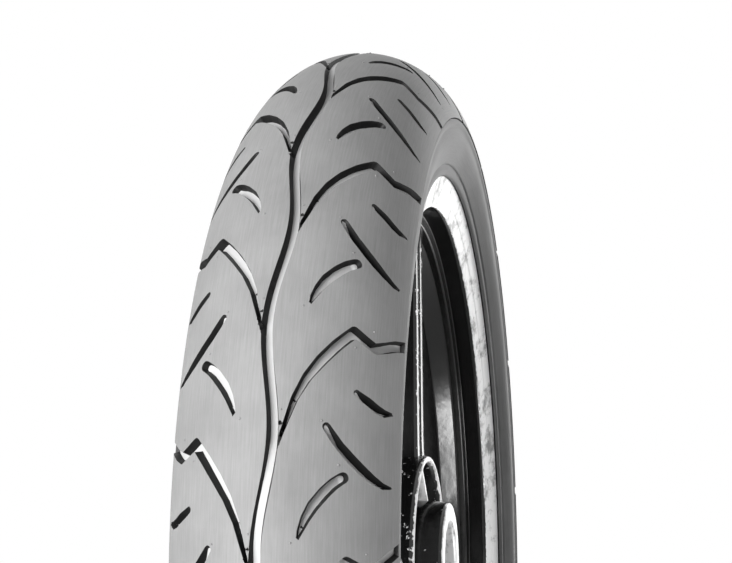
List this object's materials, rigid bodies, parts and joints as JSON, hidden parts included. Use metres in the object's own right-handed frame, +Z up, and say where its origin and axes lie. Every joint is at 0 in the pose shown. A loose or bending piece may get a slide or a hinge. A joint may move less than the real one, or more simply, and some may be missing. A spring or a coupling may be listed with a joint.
{
  "type": "motorcycle tyre and wheel",
  "caption": "Round-section motorcycle road tyre with a slanted groove pattern, fitted on a black three-spoke cast wheel with sealed bearings and a tubeless valve.",
  "frame": {"origin": "wheel centre: on the axle line, in the tyre's middle plane", "axes": "+Y along the axle towards the wheel's left face, +Z up in the wheel plane, +X in the wheel plane"},
  "size_m": [0.6078, 0.1068, 0.6046],
  "materials": {
    "tread_rubber": "dusty moulded rubber",
    "sidewall_rubber": "moulded rubber",
    "rubberised_cord": "rubber-coated cord",
    "butyl_liner": "smooth rubber",
    "bead_steel": "bronze-coated wire",
    "black_wheel_paint": "gloss black paint on cast aluminium, bare turned edges",
    "bearing_steel": "ground steel",
    "cage_nylon": "moulded nylon",
    "seal_rubber": "moulded rubber",
    "valve_brass": "turned brass",
    "valve_cap_plastic": "moulded plastic"
  },
  "bodies": {
    "axle_stack": {"bearing_inner_race_left": "bearing_steel", "bearing_inner_race_right": "bearing_steel", "distance_tube": "bearing_steel"},
    "wheel": {"bead_filler_left": "rubberised_cord", "bead_filler_right": "rubberised_cord", "bead_wire_left": "bead_steel", "bead_wire_right": "bead_steel", "bearing_outer_race_left": "bearing_steel", "bearing_outer_race_right": "bearing_steel", "bearing_seal_left_inner": "seal_rubber", "bearing_seal_left_outer": "seal_rubber", "bearing_seal_right_inner": "seal_rubber", "bearing_seal_right_outer": "seal_rubber", "carcass_ply": "rubberised_cord", "chafer_left": "rubberised_cord", "chafer_right": "rubberised_cord", "dust_seal_left": "seal_rubber", "dust_seal_right": "seal_rubber", "hub": "black_wheel_paint", "inner_liner": "butyl_liner", "rim": "black_wheel_paint", "sidewall_left": "sidewall_rubber", "sidewall_right": "sidewall_rubber", "spoke_1": "black_wheel_paint", "spoke_2": "black_wheel_paint", "spoke_3": "black_wheel_paint", "tread_band": "tread_rubber", "valve_body": "seal_rubber", "valve_core": "valve_brass", "valve_stem": "valve_brass"},
    "cage_left": {"bearing_cage_left": "cage_nylon", "bearing_ball_left_1": "bearing_steel", "bearing_ball_left_2": "bearing_steel", "bearing_ball_left_3": "bearing_steel", "bearing_ball_left_4": "bearing_steel", "bearing_ball_left_5": "bearing_steel", "bearing_ball_left_6": "bearing_steel", "bearing_ball_left_7": "bearing_steel", "bearing_ball_left_8": "bearing_steel"},
    "cage_right": {"bearing_cage_right": "cage_nylon", "bearing_ball_right_1": "bearing_steel", "bearing_ball_right_2": "bearing_steel", "bearing_ball_right_3": "bearing_steel", "bearing_ball_right_4": "bearing_steel", "bearing_ball_right_5": "bearing_steel", "bearing_ball_right_6": "bearing_steel", "bearing_ball_right_7": "bearing_steel", "bearing_ball_right_8": "bearing_steel"},
    "valve_cap": {"valve_cap": "valve_cap_plastic"},
    "valve_pin": {"valve_pin": "valve_brass"}
  },
  "joints": [
    {"name": "wheel_spin", "type": "hinge", "parent": "axle_stack", "child": "wheel", "pos_m": [0, 0, 0], "axis": [0, 1, 0], "continuous": true},
    {"name": "cage_left_spin", "type": "hinge", "parent": "axle_stack", "child": "cage_left", "pos_m": [0, 0.021, 0], "axis": [0, 1, 0], "continuous": true},
    {"name": "cage_right_spin", "type": "hinge", "parent": "axle_stack", "child": "cage_right", "pos_m": [0, -0.021, 0], "axis": [0, 1, 0], "continuous": true},
    {"name": "valve_cap_pull", "type": "slide", "parent": "wheel", "child": "valve_cap", "axis": [0, 0, 1], "range_m": [0, 0.012]},
    {"name": "valve_pin_press", "type": "slide", "parent": "wheel", "child": "valve_pin", "axis": [0, 0, -1], "range_m": [0, 0.0015], "stiffness_N_per_m": 800, "springref_m": -0.001}
  ],
  "couplings": [
    {"joint": "cage_left_spin", "follows": "wheel_spin", "ratio": 0.6185},
    {"joint": "cage_right_spin", "follows": "wheel_spin", "ratio": 0.6185}
  ]
}
